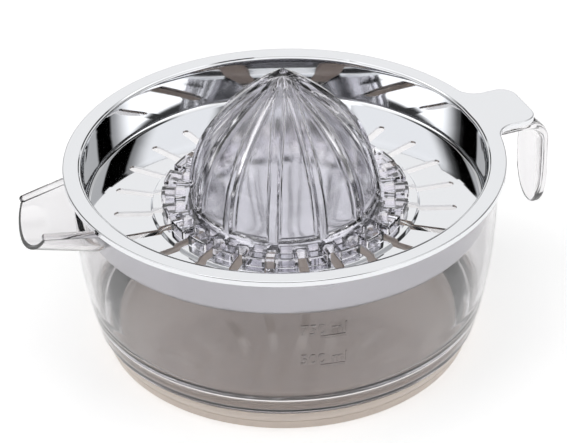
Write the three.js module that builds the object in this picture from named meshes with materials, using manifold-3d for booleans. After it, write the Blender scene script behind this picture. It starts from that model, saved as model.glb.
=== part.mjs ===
// A hand citrus juicer: a clear jug on a soft foot pad, a pressed strainer dish with a thumb
// tab that hangs in the jug's mouth, and a ribbed reaming cone that presses into the dish.
// Lengths are in millimetres. The jug's axis is Z and the foot rests on z = 0.
// The handle and the thumb tab point along +X, the spout along -X.
import * as THREE from "three";
import { mergeVertices } from "three/addons/utils/BufferGeometryUtils.js";
import Module from "manifold-3d";

const wasm = await Module();
wasm.setup();

// Shared clearances and steps
const fitGap = 0.3; // between two pieces that rest on each other
const cutOverrun = 2; // how far every cutting solid runs past the material
const chordError = 0.08; // largest distance between an arc and its chords
const mergeDistance = 1e-4; // vertices this close are one vertex
const turnSegments = 72; // facets round every turned surface
const fullTurn = 2 * Math.PI;
const quarterTurn = Math.PI / 2;

// Foot pad
const padBaseRadius = 70.2;
const padFlare = 3.2; // how much wider it is at its top
const padHeight = 9.5;
const padWall = 3;
const padFloor = 2.5;
const padEdge = 1.2; // rounding of the lower edge

// Jug
const jugHeelStep = 0.8; // how far the wall's foot stands outside the pad
const jugSwell = 6.1; // how much wider the belly is than the heel
const jugBellyHeight = 58;
const jugWall = 2.2;
const jugFloor = 3.5;
const jugFloorFillet = 20;
const wallSteps = 12; // straight facets up the wall

// Spout, a round-bottomed trough with a bead along both top edges
const spoutLength = 23.4; // from the jug's wall to the foremost point of the lip
const spoutLean = 5; // how far the lip's top corners stand behind that point
const spoutRise = 0.3; // above the jug's rim
const spoutRootHalfWidth = 20.7;
const spoutTipHalfWidth = 14.9;
const spoutRootDepth = 16.1; // below the beads' centres
const spoutTipDepth = 10;
const spoutWall = 1.8;
const spoutBead = 1.4; // radius of the beads that stand on the trough's top edges
const spoutSquareness = 1.8; // exponent of the trough's section, 2 is an ellipse
const spoutSectionSteps = 20;
const spoutLengthSteps = 4;

// Handle, a strap that runs out under the thumb tab and turns down into a tongue
const handleLength = 27; // from the jug's wall to the tongue's outer face
const handleHeight = 42.8; // from the tongue's tip to the strap's top
const handleHalfWidth = 10.4;
const handleThickness = 3.6;
const handleBend = 10; // outer radius of the turn
const handleEndHeight = 17; // height of the tongue's rounded end
const handleClearance = 0.9; // between the strap and the dish's edge above it

// Fill marks, raised bars outside the wall
const markVolumes = [500, 750]; // millilitres
const millilitre = 1000; // cubic millimetres
const markAngle = THREE.MathUtils.degToRad(-99.8);
const markLength = 9;
const markHeight = 0.9;
const markStandOut = 0.4;

// Strainer dish, pressed from one sheet
const sheet = 0.8;
const flangeTop = 74.6;
const flangeOverhang = 3.6; // past the jug's wall
const flangeDrop = 2.1; // height of the turned-down edge
const bowlClearance = 0.4; // between the bowl's wall and the jug's rim
const bowlMouthRounding = 1.2;
const bowlTaper = 0.6; // the wall's foot is this much narrower than its mouth
const bowlDepth = 18.9; // from the flange's top to the floor's edge
const bowlBend = 2.5; // inside radius between wall and floor
const floorFall = 0.9; // from the floor's edge down to the foot of the raised centre
const centreRise = 0.8; // from there up to the raised centre
const centreSlope = 3.4; // width of that slope
const centreMargin = 0.7; // between the reamer's skirt and the slope
const tabLength = 17.2; // past the flange's rim
const tabHalfWidth = 13.3;
const tabCorner = 6.5;
const tabBlend = 8; // hollow curve between the tab and the flange's rim

// Slots in the dish
const slotCount = 24;
const slotWidth = 3.6;
const slotInnerRadius = 38;
const slotOuterRadius = 65.1;
const slotTurn = THREE.MathUtils.degToRad(1.2); // from the tab's middle to the nearest slot

// Reamer
const skirtRadius = 46.9;
const skirtHeight = 3.7;
const skirtWall = 1.4;
const skirtTopThickness = 1.6;
const notchWidth = 3.8;
const notchDepth = 5.4; // from the skirt's edge inwards
const notchWall = 1.1;
const coneRadius = 36.5; // over the ribs, at the skirt
const coneHeight = 53;
const coneFullness = 2.2; // exponent of the cone's curve, 2 is a parabola
const coneWall = 2.2;
const coneTopThickness = 4;
const coneLevels = 16;
const ribCount = 12;
const ribDepth = 2.4;
const ribCrestWidth = 2.4;
const ribFlankWidth = 1.6;
const ribCrestShare = 0.3; // largest half width of a crest near the tip, of the rib spacing
const ribValleyShare = 0.08; // least half width of a valley there, of the same spacing
const ribFadeShare = 0.12; // the ribs start to sink at twice this share of the cone's radius
const pegCount = 3;
const pegLength = 3.1; // how far the pegs reach below the skirt

// Materials
const clearPlastic = () =>
  new THREE.MeshStandardMaterial({ color: 0xe9eef0, roughness: 0.08, metalness: 0 });
const steel = () =>
  new THREE.MeshStandardMaterial({ color: 0xc9ccd0, roughness: 0.15, metalness: 1 });
const softPlastic = () =>
  new THREE.MeshStandardMaterial({ color: 0xcdbfb2, roughness: 0.5, metalness: 0 });

// Points of a circular arc, both ends included, with steps that keep the chord error.
function arc(centreX, centreY, radius, from, to) {
  const step = 2 * Math.acos(1 - Math.min(chordError / radius, 1));
  const count = Math.max(2, Math.ceil(Math.abs(to - from) / step));
  return Array.from({ length: count + 1 }, (_, i) => {
    const angle = from + ((to - from) * i) / count;
    const x = centreX + radius * Math.cos(angle);
    const y = centreY + radius * Math.sin(angle);
    return new THREE.Vector2(x, y);
  });
}

const point = (x, y) => new THREE.Vector2(x, y);

// A closed geometry as a solid that can be joined and cut.
function solid(geometry) {
  const bare = geometry.clone();
  bare.deleteAttribute("normal");
  bare.deleteAttribute("uv");
  const merged = mergeVertices(bare, mergeDistance);
  return new wasm.Manifold(
    new wasm.Mesh({
      numProp: 3,
      vertProperties: new Float32Array(merged.attributes.position.array),
      triVerts: new Uint32Array(merged.index.array),
    }),
  );
}

// A turned solid. The profile runs anticlockwise in (radius, height).
function revolve(profile) {
  return solid(new THREE.LatheGeometry(profile, turnSegments).rotateX(quarterTurn));
}

// A plate with the given outline, between two heights.
function plate(outline, bottom, top) {
  const shape = new THREE.Shape(outline);
  const geometry = new THREE.ExtrudeGeometry(shape, { depth: top - bottom, bevelEnabled: false });
  return solid(geometry.translate(0, 0, bottom));
}

// A bar with its outline in (along, height) and centred across it.
// The directions give where the outline's first axis and the bar's length point.
function bar(outline, along, across, length) {
  const shape = new THREE.Shape(outline);
  const geometry = new THREE.ExtrudeGeometry(shape, { depth: length, bevelEnabled: false });
  const up = new THREE.Vector3(0, 0, 1);
  const turn = new THREE.Matrix4().makeBasis(along, up, across);
  return solid(geometry.translate(0, 0, -length / 2).applyMatrix4(turn));
}

// A solid through rings of points, closed by a fan at each end.
function loft(rings) {
  const size = rings[0].length;
  const centre = (ring) =>
    ring.reduce((sum, p) => sum.add(p), new THREE.Vector3()).divideScalar(ring.length);
  const points = [...rings.flat(), centre(rings[0]), centre(rings.at(-1))];
  const first = points.length - 2;
  const last = points.length - 1;
  const lastRing = (rings.length - 1) * size;
  const faces = [];
  for (let i = 0; i < size; i++) {
    const next = (i + 1) % size;
    for (let row = 0; row < lastRing; row += size) {
      faces.push(row + i, row + next, row + size + next);
      faces.push(row + i, row + size + next, row + size + i);
    }
    faces.push(first, next, i);
    faces.push(last, lastRing + i, lastRing + next);
  }
  const geometry = new THREE.BufferGeometry().setFromPoints(points);
  geometry.setIndex(faces);
  return solid(geometry);
}

// Copies of a solid, evenly spaced round the axis and joined.
function around(piece, count, start = 0) {
  const copies = Array.from({ length: count }, (_, i) =>
    piece.rotate([0, 0, THREE.MathUtils.radToDeg(start + (fullTurn * i) / count)]),
  );
  return wasm.Manifold.union(copies);
}

// A rectangle that runs out along +X from one radius to another.
function radialStrip(inner, outer, width) {
  return [
    point(inner, -width / 2),
    point(outer, -width / 2),
    point(outer, width / 2),
    point(inner, width / 2),
  ];
}

function mesh(name, body, material) {
  const { vertProperties, triVerts } = body.getMesh();
  const geometry = new THREE.BufferGeometry();
  geometry.setAttribute("position", new THREE.BufferAttribute(vertProperties, 3));
  geometry.setIndex(new THREE.BufferAttribute(triVerts, 1));
  geometry.computeVertexNormals();
  const made = new THREE.Mesh(geometry, material);
  made.name = name;
  return made;
}

// Foot pad: a shallow cup that the jug's base sits in.
const padTopRadius = padBaseRadius + padFlare;
const padRadius = (z) => padBaseRadius + (padFlare * z) / padHeight;

function makeFootPad() {
  const innerRadius = (z) => padRadius(z) - padWall;
  return revolve([
    point(0, 0),
    ...arc(padRadius(padEdge) - padEdge, padEdge, padEdge, -quarterTurn, 0),
    point(padTopRadius, padHeight),
    point(innerRadius(padHeight), padHeight),
    point(innerRadius(padFloor), padFloor),
    point(0, padFloor),
  ]);
}

// Jug: one clear moulding with its spout, handle and fill marks.
const jugBottom = padFloor + fitGap;
const jugHeelHeight = padHeight + fitGap;
const jugFloorTop = jugBottom + jugFloor;
const jugHeelRadius = padTopRadius + jugHeelStep;
const jugBellyRadius = jugHeelRadius + jugSwell;
const jugRimHeight = flangeTop - sheet - fitGap;

// The wall's outside swells from the heel to the belly and draws in a little to the rim.
function jugRadius(z) {
  const share = (z - jugBellyHeight) / (jugHeelHeight - jugBellyHeight);
  return jugBellyRadius - jugSwell * share ** 2;
}

const insideRadius = (z) => jugRadius(z) - jugWall;
const flangeRadius = jugRadius(jugRimHeight) + flangeOverhang;

// The inside's corner between floor and wall, a quarter circle.
const cornerHeight = jugFloorTop + jugFloorFillet;
const cornerRadius = insideRadius(cornerHeight) - jugFloorFillet;

// The inside's profile from the floor's edge up to the wall.
function insideProfile() {
  const corner = arc(cornerRadius, cornerHeight, jugFloorFillet, -quarterTurn, 0);
  const top = jugRimHeight - jugWall / 2;
  const wall = Array.from({ length: wallSteps }, (_, i) => {
    const z = cornerHeight + ((top - cornerHeight) * (i + 1)) / wallSteps;
    return point(insideRadius(z), z);
  });
  return [...corner, ...wall];
}

// The height at which the jug holds a volume in millilitres.
function fillHeight(millilitres) {
  let left = millilitres * millilitre;
  const profile = [point(0, jugFloorTop), ...insideProfile()];
  for (let i = 1; i < profile.length; i++) {
    const [low, high] = [profile[i - 1], profile[i]];
    const meanArea = (Math.PI * (low.x ** 2 + low.x * high.x + high.x ** 2)) / 3;
    const held = meanArea * (high.y - low.y);
    if (held >= left) return low.y + left / meanArea;
    left -= held;
  }
  return jugRimHeight;
}

function makeJugBody() {
  const plugRadius = (z) => padRadius(z) - padWall - fitGap;
  const rimStart = jugRimHeight - jugWall / 2;
  const outside = Array.from({ length: wallSteps }, (_, i) => {
    const z = jugHeelHeight + ((rimStart - jugHeelHeight) * i) / wallSteps;
    return point(jugRadius(z), z);
  });
  const rimCentre = jugRadius(rimStart) - jugWall / 2;
  return revolve([
    point(0, jugBottom),
    point(plugRadius(jugBottom), jugBottom),
    point(plugRadius(jugHeelHeight), jugHeelHeight),
    ...outside,
    ...arc(rimCentre, rimStart, jugWall / 2, 0, Math.PI).slice(0, -1),
    ...insideProfile().reverse(),
    point(0, jugFloorTop),
  ]);
}

const spoutTop = jugRimHeight + spoutRise;
const spoutEdge = spoutTop - spoutBead;
const spoutRoot = jugRadius(spoutTop);
const spoutReach = spoutRoot + spoutLength;
// The spout starts inside the jug's round wall even at its full width.
const spoutStart = Math.sqrt(insideRadius(spoutTop) ** 2 - spoutRootHalfWidth ** 2) - spoutBead;

// Cross-sections of the trough between two distances from the axis, shrunk by a wall thickness.
function spoutSections(start, end, shrink) {
  return Array.from({ length: spoutLengthSteps + 1 }, (_, i) => {
    const reach = start + ((end - start) * i) / spoutLengthSteps;
    const share = (reach - spoutRoot) / spoutLength;
    const halfWidth = THREE.MathUtils.lerp(spoutRootHalfWidth, spoutTipHalfWidth, share) - shrink;
    const depth = THREE.MathUtils.lerp(spoutRootDepth, spoutTipDepth, share) - shrink;
    const rise = shrink > 0 ? spoutBead + cutOverrun : 0;
    const bottomArc = Array.from({ length: spoutSectionSteps + 1 }, (_, k) => {
      const angle = (Math.PI * k) / spoutSectionSteps;
      const cosine = Math.cos(angle);
      const across = Math.sign(cosine) * Math.abs(cosine) ** (2 / spoutSquareness);
      const down = Math.sin(angle) ** (2 / spoutSquareness);
      const lean = share * spoutLean * (1 - down);
      return new THREE.Vector3(lean - reach, halfWidth * across, spoutEdge - depth * down);
    });
    const lids = [bottomArc.at(-1), bottomArc[0]].map((p) => p.clone());
    lids.forEach((p) => (p.z += rise));
    return rise > 0 ? [...bottomArc, ...lids] : bottomArc;
  });
}

function makeSpout() {
  return loft(spoutSections(spoutStart, spoutReach, 0));
}

// The bead's path follows the trough's top edge, level from the wall to the lip.
function makeSpoutBead(side) {
  const edge = (reach) => {
    const share = (reach - spoutRoot) / spoutLength;
    const halfWidth = THREE.MathUtils.lerp(spoutRootHalfWidth, spoutTipHalfWidth, share);
    const y = side * (halfWidth - spoutWall / 2);
    return new THREE.Vector3(share * spoutLean - reach, y, spoutEdge);
  };
  const path = new THREE.LineCurve3(edge(spoutStart), edge(spoutReach));
  const section = new THREE.Shape(arc(0, 0, spoutBead, 0, fullTurn).slice(0, -1));
  return solid(new THREE.ExtrudeGeometry(section, { steps: 1, extrudePath: path }));
}

function makeHandle() {
  const handleTop = flangeTop - flangeDrop - handleClearance;
  const handleBottom = handleTop - handleHeight;
  const handleReach = jugRadius(handleTop) + handleLength;
  const inner = handleReach - handleThickness;
  const innerBend = handleBend - handleThickness;
  const rootX = jugRadius(handleTop) - jugWall / 2;
  const bendX = handleReach - handleBend;
  const bendZ = handleTop - handleBend;
  const strap = bar(
    [
      point(rootX, handleTop - handleThickness),
      ...arc(bendX, bendZ, innerBend, quarterTurn, 0),
      point(inner, handleBottom),
      point(handleReach, handleBottom),
      ...arc(bendX, bendZ, handleBend, 0, quarterTurn),
      point(rootX, handleTop),
    ],
    new THREE.Vector3(1, 0, 0),
    new THREE.Vector3(0, -1, 0),
    2 * handleHalfWidth,
  );
  const endStart = handleBottom + handleEndHeight;
  const roundEnd = arc(0, 0, handleHalfWidth, Math.PI, fullTurn).map((p) =>
    point(p.x, endStart + (p.y * handleEndHeight) / handleHalfWidth),
  );
  const tongue = bar(
    [
      ...roundEnd,
      point(handleHalfWidth, handleTop + cutOverrun),
      point(-handleHalfWidth, handleTop + cutOverrun),
    ],
    new THREE.Vector3(0, 1, 0),
    new THREE.Vector3(1, 0, 0),
    2 * (handleReach + cutOverrun),
  );
  return strap.intersect(tongue);
}

function makeFillMark(millilitres) {
  const z = fillHeight(millilitres);
  const outer = jugRadius(z) + markStandOut;
  const strip = radialStrip(outer - jugWall / 2, outer, markLength);
  return plate(strip, z - markHeight / 2, z + markHeight / 2).rotate([
    0,
    0,
    THREE.MathUtils.radToDeg(markAngle),
  ]);
}

// Room for the dish's flange and its turned-down edge above the jug's rim.
function makeFlangeRoom() {
  const edgeInside = flangeRadius - sheet - fitGap;
  const edgeOutside = flangeRadius + fitGap;
  const edgeBottom = flangeTop - flangeDrop - fitGap;
  return revolve([
    point(0, jugRimHeight),
    point(edgeInside, jugRimHeight),
    point(edgeInside, edgeBottom),
    point(edgeOutside, edgeBottom),
    point(edgeOutside, flangeTop + cutOverrun),
    point(0, flangeTop + cutOverrun),
  ]);
}

function makeJug() {
  const channel = loft(
    spoutSections(cornerRadius, spoutReach + cutOverrun, spoutWall),
  );
  const cavity = revolve([
    point(0, jugFloorTop),
    ...insideProfile(),
    point(insideRadius(jugRimHeight), jugRimHeight),
    point(0, jugRimHeight),
  ]);
  const outside = [makeSpout(), makeHandle(), ...markVolumes.map(makeFillMark)];
  const beads = [makeSpoutBead(1), makeSpoutBead(-1)];
  return makeJugBody()
    .add(wasm.Manifold.union(outside).subtract(cavity))
    .subtract(channel)
    .add(wasm.Manifold.union(beads).subtract(cavity))
    .subtract(makeFlangeRoom());
}

// Strainer dish: a bowl with a flat flange, a thumb tab, a raised centre and radial slots.
// The second face of the sheet lies one thickness to the right of the path's direction.
function sheetProfile(path) {
  const directions = path.slice(1).map((p, i) => p.clone().sub(path[i]).normalize());
  const back = path.map((p, i) => {
    const before = directions[Math.max(i - 1, 0)];
    const after = directions[Math.min(i, directions.length - 1)];
    const right = point(before.y + after.y, -before.x - after.x).normalize();
    const mitre = sheet / right.dot(point(before.y, -before.x));
    return p.clone().addScaledVector(right, mitre);
  });
  return [...back, ...path.slice().reverse()];
}

const bowlMouthRadius = insideRadius(jugRimHeight) - bowlClearance - sheet;
const floorRimHeight = flangeTop - bowlDepth;
const floorStepHeight = floorRimHeight - floorFall;
const centreHeight = floorStepHeight + centreRise;
const centreRadius = skirtRadius + centreMargin;

function makeBowl() {
  const bowlBaseRadius = bowlMouthRadius - bowlTaper;
  const bendCentreZ = floorRimHeight + bowlBend;
  const mouthX = bowlMouthRadius + bowlMouthRounding;
  const mouthZ = flangeTop - bowlMouthRounding;
  return revolve(
    sheetProfile([
      point(0, centreHeight),
      point(centreRadius, centreHeight),
      point(centreRadius + centreSlope, floorStepHeight),
      ...arc(bowlBaseRadius - bowlBend, bendCentreZ, bowlBend, -quarterTurn, 0),
      ...arc(mouthX, mouthZ, bowlMouthRounding, Math.PI, quarterTurn),
      point(mouthX + sheet, flangeTop),
    ]),
  );
}

// The flange's outline with its tab, moved inwards by an inset.
function flangeOutline(inset) {
  const radius = flangeRadius - inset;
  const halfWidth = tabHalfWidth - inset;
  const reach = flangeRadius + tabLength - inset;
  const corner = tabCorner - inset;
  const blend = tabBlend + inset;
  const blendY = halfWidth + blend;
  const blendX = Math.sqrt((radius + blend) ** 2 - blendY ** 2);
  const blendAngle = Math.atan2(blendY, blendX);
  return [
    ...arc(0, 0, radius, blendAngle, fullTurn - blendAngle),
    ...arc(blendX, -blendY, blend, Math.PI - blendAngle, quarterTurn).slice(1),
    ...arc(reach - corner, corner - halfWidth, corner, -quarterTurn, 0),
    ...arc(reach - corner, halfWidth - corner, corner, 0, quarterTurn),
    ...arc(blendX, blendY, blend, -quarterTurn, blendAngle - Math.PI).slice(0, -1),
  ];
}

function makeFlange() {
  const edgeBottom = flangeTop - flangeDrop;
  const body = plate(flangeOutline(0), edgeBottom, flangeTop);
  const hollow = plate(flangeOutline(sheet), edgeBottom - cutOverrun, flangeTop - sheet);
  const mouth = bowlMouthRadius + bowlMouthRounding + sheet / 2;
  const opening = revolve([
    point(0, edgeBottom - cutOverrun),
    point(mouth, edgeBottom - cutOverrun),
    point(mouth, flangeTop + cutOverrun),
    point(0, flangeTop + cutOverrun),
  ]);
  return body.subtract(hollow).subtract(opening);
}

function makeStrainerDish() {
  const end = slotWidth / 2;
  const outline = [
    ...arc(slotOuterRadius - end, 0, end, -quarterTurn, quarterTurn),
    ...arc(slotInnerRadius + end, 0, end, quarterTurn, 3 * quarterTurn),
  ];
  const slot = plate(outline, floorStepHeight - sheet - cutOverrun, centreHeight + cutOverrun);
  return makeBowl().add(makeFlange()).subtract(around(slot, slotCount, slotTurn));
}

// Reamer: a hollow ribbed cone on a notched skirt, with pegs that press into the slots.
const skirtBottom = centreHeight + fitGap;
const skirtTop = skirtBottom + skirtHeight;
const skirtUnderside = skirtTop - skirtTopThickness;
const notchInnerRadius = skirtRadius - notchDepth;

// The cone's curve, as a radius at a height above the skirt.
function coneCurve(height, base, top) {
  return base * (1 - (height / top) ** coneFullness);
}

// Heights of the cone's levels, closer together towards the tip.
function coneLevelHeight(level, top) {
  return top * Math.sin((quarterTurn * level) / coneLevels);
}

// One level of the ribbed cone.
function coneRing(level) {
  const height = coneLevelHeight(level, coneHeight);
  const crest = Math.max(coneCurve(height, coneRadius, coneHeight), chordError);
  const spacing = fullTurn / ribCount;
  const fade = THREE.MathUtils.clamp(crest / (coneRadius * ribFadeShare) - 1, 0, 1);
  const valley = crest - ribDepth * fade;
  const halfCrest = Math.min(ribCrestWidth / 2 / crest, spacing * ribCrestShare);
  const halfRib = Math.min(halfCrest + ribFlankWidth / crest, spacing * (0.5 - ribValleyShare));
  const offsets = [
    [-halfCrest, crest],
    [halfCrest, crest],
    [halfRib, valley],
    [spacing / 2, valley],
    [spacing - halfRib, valley],
  ];
  return Array.from({ length: ribCount }, (_, rib) =>
    offsets.map(([offset, radius]) => {
      const angle = rib * spacing + offset;
      const x = radius * Math.cos(angle);
      const y = radius * Math.sin(angle);
      return new THREE.Vector3(x, y, skirtTop + height);
    }),
  ).flat();
}

function makeCone() {
  const base = coneRing(0).map((p) => p.clone().setZ(skirtUnderside));
  const rings = Array.from({ length: coneLevels + 1 }, (_, level) => coneRing(level));
  return loft([base, ...rings]);
}

function makeConeHollow() {
  const base = coneRadius - ribDepth - coneWall;
  const top = coneHeight - coneTopThickness;
  const inside = Array.from({ length: coneLevels + 1 }, (_, level) => {
    const height = coneLevelHeight(level, top);
    return point(coneCurve(height, base, top), skirtTop + height);
  });
  inside.at(-1).x = 0;
  return revolve([
    point(0, skirtBottom - cutOverrun),
    point(base, skirtBottom - cutOverrun),
    ...inside,
  ]);
}

function makeSkirt() {
  const grooveInner = coneRadius + notchWall;
  const grooveOuter = skirtRadius - skirtWall;
  const ring = revolve([
    point(0, skirtBottom),
    point(skirtRadius, skirtBottom),
    point(skirtRadius, skirtTop),
    point(0, skirtTop),
  ]);
  const groove = revolve([
    point(grooveInner, skirtBottom - cutOverrun),
    point(grooveOuter, skirtBottom - cutOverrun),
    point(grooveOuter, skirtUnderside),
    point(grooveInner, skirtUnderside),
    point(grooveInner, skirtBottom - cutOverrun),
  ]);
  const wallStart = notchInnerRadius - notchWall;
  const wallStrip = radialStrip(wallStart, grooveOuter, notchWidth + 2 * notchWall);
  const walls = around(plate(wallStrip, skirtBottom, skirtTop), slotCount);
  const notchStrip = radialStrip(notchInnerRadius, skirtRadius + cutOverrun, notchWidth);
  const notch = plate(notchStrip, skirtBottom - cutOverrun, skirtTop + cutOverrun);
  return ring.subtract(groove).add(walls).subtract(around(notch, slotCount));
}

function makePegs() {
  const width = slotWidth - 2 * fitGap;
  const strip = radialStrip(notchInnerRadius - notchWall / 2, skirtRadius - fitGap, width);
  const peg = plate(strip, skirtBottom - pegLength, skirtTop - fitGap);
  return around(peg, pegCount);
}

// The reamer is turned with the slots that its pegs go through.
function makeReamer() {
  const upright = makeSkirt().add(makeCone()).subtract(makeConeHollow()).add(makePegs());
  return upright.rotate([0, 0, THREE.MathUtils.radToDeg(slotTurn)]);
}

const juicer = new THREE.Group();
juicer.name = "citrus_juicer";
juicer.add(
  mesh("foot_pad", makeFootPad(), softPlastic()),
  mesh("jug", makeJug(), clearPlastic()),
  mesh("strainer_dish", makeStrainerDish(), steel()),
  mesh("reamer", makeReamer(), clearPlastic()),
);

export default juicer;
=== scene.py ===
# A hand citrus juicer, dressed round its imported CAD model.
# Lengths are in metres. +X points to the handle and the thumb tab, -X to the spout, +Z up.
import math

import bmesh
import bpy
from mathutils import Matrix, Vector


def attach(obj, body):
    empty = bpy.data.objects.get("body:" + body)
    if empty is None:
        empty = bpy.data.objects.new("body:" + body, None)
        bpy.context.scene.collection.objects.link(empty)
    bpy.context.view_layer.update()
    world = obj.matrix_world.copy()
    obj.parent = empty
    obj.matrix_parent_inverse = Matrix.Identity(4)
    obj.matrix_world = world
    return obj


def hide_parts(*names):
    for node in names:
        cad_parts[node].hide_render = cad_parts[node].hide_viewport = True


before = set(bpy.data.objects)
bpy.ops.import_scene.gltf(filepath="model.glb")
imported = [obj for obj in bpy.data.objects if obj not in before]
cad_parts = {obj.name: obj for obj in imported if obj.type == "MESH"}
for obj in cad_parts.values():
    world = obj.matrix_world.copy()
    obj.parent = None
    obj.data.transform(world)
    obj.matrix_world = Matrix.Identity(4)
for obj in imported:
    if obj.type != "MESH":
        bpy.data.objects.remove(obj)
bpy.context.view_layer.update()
MM = 0.001

# The view: from the spout's side of the front, looking down into the dish.
# Its place comes from the outlines of the flange, the wall and the foot in the photograph.
CAMERA_AZIMUTH = math.radians(-21.3)
CAMERA_ELEVATION = math.radians(33.2)
CAMERA_ROLL = math.radians(-1.19)
CAMERA_DISTANCE = 900 * MM
CAMERA_TARGET = Vector((-0.76, 0.30, 45.2)) * MM
CAMERA_FOCAL_LENGTH = 149.5
CAMERA_FILM_WIDTH = 36  # both in millimetres, as a camera's data take them

camera_data = bpy.data.cameras.new("camera")
camera_data.lens = CAMERA_FOCAL_LENGTH
camera_data.sensor_width = CAMERA_FILM_WIDTH
camera = bpy.data.objects.new("camera", camera_data)
bpy.context.scene.collection.objects.link(camera)
camera_back = Vector(
    (
        math.sin(CAMERA_AZIMUTH) * math.cos(CAMERA_ELEVATION),
        -math.cos(CAMERA_AZIMUTH) * math.cos(CAMERA_ELEVATION),
        math.sin(CAMERA_ELEVATION),
    )
)
camera_turn = camera_back.to_track_quat("Z", "Y").to_matrix().to_4x4()
camera.matrix_world = (
    Matrix.Translation(CAMERA_TARGET + camera_back * CAMERA_DISTANCE)
    @ camera_turn
    @ Matrix.Rotation(CAMERA_ROLL, 4, "Z")
)
bpy.context.scene.camera = camera
bpy.context.scene.view_settings.view_transform = "Standard"

# The studio: a white dome that lights everything softly and shows white behind the object.
# Dark screens stand behind it on both sides, round the camera and low down all around. They
# give the polished steel its black crescents and the dark lines along its bends.
# Directions are in degrees: sideways from straight behind the object, and up from level.
DOME_TOP = 58  # the screens and side lamps end between these two heights
DOME_TOP_FULL = 66
SCREEN_INNER_RIGHT = 47
SCREEN_OUTER_RIGHT = 62
SCREEN_INNER_LEFT = 38
SCREEN_OUTER_LEFT = 53
SCREEN_LEVEL = 33  # the height at which those edges are measured
SCREEN_SLANT = 0.35
SCREEN_STRAIGHT_FROM = 36  # above this height the edges are upright
SCREEN_LIFT_LOW = 31  # between these heights the right screen grows wider
SCREEN_LIFT_HIGH = 35
SCREEN_LIFT = 10
SCREEN_BLUR = 1.5
BEHIND_GREY = 0.42  # how far the light behind the object is dimmed beside its middle
BEHIND_WHITE_TO = 12
BEHIND_GREY_FROM = 16
SIDE_LAMP_LOW = 1.7
SIDE_LAMP_HIGH = 1.2
SIDE_LAMP_LOW_TO = 26
SIDE_LAMP_HIGH_FROM = 36
# Each side lamp brightens in two steps past the screen: from, to and share of its strength.
RIGHT_LAMP_STEPS = ((0, 3, 0.25), (2, 22, 0.75))
LEFT_LAMP_STEPS = ((0, 14, 0.12), (8, 26, 0.88))
RING_LOW = 1.5
RING_HIGH = 17
RING_BLUR = 2
RING_DARKNESS = 0.95
FRONT_HALF_WIDTH = 50
FRONT_BLUR = 12
FRONT_LOW = 2
FRONT_LOW_BLUR = 6
FRONT_DARKNESS = 0.97

world = bpy.data.worlds.new("studio")
bpy.context.scene.world = world
world.use_nodes = True
nodes, links = world.node_tree.nodes, world.node_tree.links
nodes.clear()


def calculate(operation, a, b=None):
    """A maths node in the studio's tree. Each input is a number or a socket."""
    node = nodes.new("ShaderNodeMath")
    node.operation = operation
    for socket, value in zip(node.inputs, (a, b)):
        if isinstance(value, bpy.types.NodeSocket):
            links.new(value, socket)
        elif value is not None:
            socket.default_value = value
    return node.outputs[0]


def product(*factors):
    result = factors[0]
    for factor in factors[1:]:
        result = calculate("MULTIPLY", result, factor)
    return result


def total(*terms):
    result = terms[0]
    for term in terms[1:]:
        result = calculate("ADD", result, term)
    return result


def rising(value, low, high, from_value=0.0, to_value=1.0):
    """Goes smoothly from one value to the other while the input goes from low to high."""
    node = nodes.new("ShaderNodeMapRange")
    node.interpolation_type = "SMOOTHSTEP"
    links.new(value, node.inputs["Value"])
    node.inputs["From Min"].default_value = low
    node.inputs["From Max"].default_value = high
    node.inputs["To Min"].default_value = from_value
    node.inputs["To Max"].default_value = to_value
    return node.outputs["Result"]


def either(choice, if_zero, if_one):
    """A smooth choice between two numbers or sockets."""
    node = nodes.new("ShaderNodeMix")
    links.new(choice, node.inputs["Factor"])
    for name, value in (("A", if_zero), ("B", if_one)):
        if isinstance(value, bpy.types.NodeSocket):
            links.new(value, node.inputs[name])
        else:
            node.inputs[name].default_value = value
    return node.outputs["Result"]


direction = nodes.new("ShaderNodeTexCoord").outputs["Generated"]
aligned = nodes.new("ShaderNodeMapping")
aligned.inputs["Rotation"].default_value = (0, 0, -CAMERA_AZIMUTH)
links.new(direction, aligned.inputs["Vector"])
parts = nodes.new("ShaderNodeSeparateXYZ")
links.new(aligned.outputs["Vector"], parts.inputs["Vector"])
sideways = calculate("DEGREES", calculate("ARCTAN2", parts.outputs["X"], parts.outputs["Y"]))
height = calculate("DEGREES", calculate("ARCSINE", parts.outputs["Z"]))
off_middle = calculate("ABSOLUTE", sideways)
to_right = calculate("GREATER_THAN", sideways, 0)

# Side screens: two slanted bands, each with a bright lamp beyond its outer edge.
slanting_height = calculate("MINIMUM", height, SCREEN_STRAIGHT_FROM)
slant = product(calculate("SUBTRACT", SCREEN_LEVEL, slanting_height), SCREEN_SLANT)
inner_edge = total(either(to_right, SCREEN_INNER_LEFT, SCREEN_INNER_RIGHT), slant)
lift = product(rising(height, SCREEN_LIFT_LOW, SCREEN_LIFT_HIGH), to_right, SCREEN_LIFT)
outer_edge = total(either(to_right, SCREEN_OUTER_LEFT, SCREEN_OUTER_RIGHT), slant, lift)
past_inner = rising(calculate("SUBTRACT", off_middle, inner_edge), -SCREEN_BLUR, SCREEN_BLUR)
past_outer = calculate("SUBTRACT", off_middle, outer_edge)
glow_right = total(*[rising(past_outer, a, b, 0, share) for a, b, share in RIGHT_LAMP_STEPS])
glow_left = total(*[rising(past_outer, a, b, 0, share) for a, b, share in LEFT_LAMP_STEPS])
lamp_strength = rising(
    height, SIDE_LAMP_LOW_TO, SIDE_LAMP_HIGH_FROM, SIDE_LAMP_LOW, SIDE_LAMP_HIGH
)
side_lamps = product(either(to_right, glow_left, glow_right), lamp_strength)
behind = rising(off_middle, BEHIND_WHITE_TO, BEHIND_GREY_FROM, 1, 1 - BEHIND_GREY)
in_band = product(
    rising(height, RING_HIGH, RING_HIGH + RING_BLUR),
    rising(height, DOME_TOP, DOME_TOP_FULL, 1, 0),
)
around = either(in_band, 1, either(past_inner, behind, side_lamps))

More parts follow.
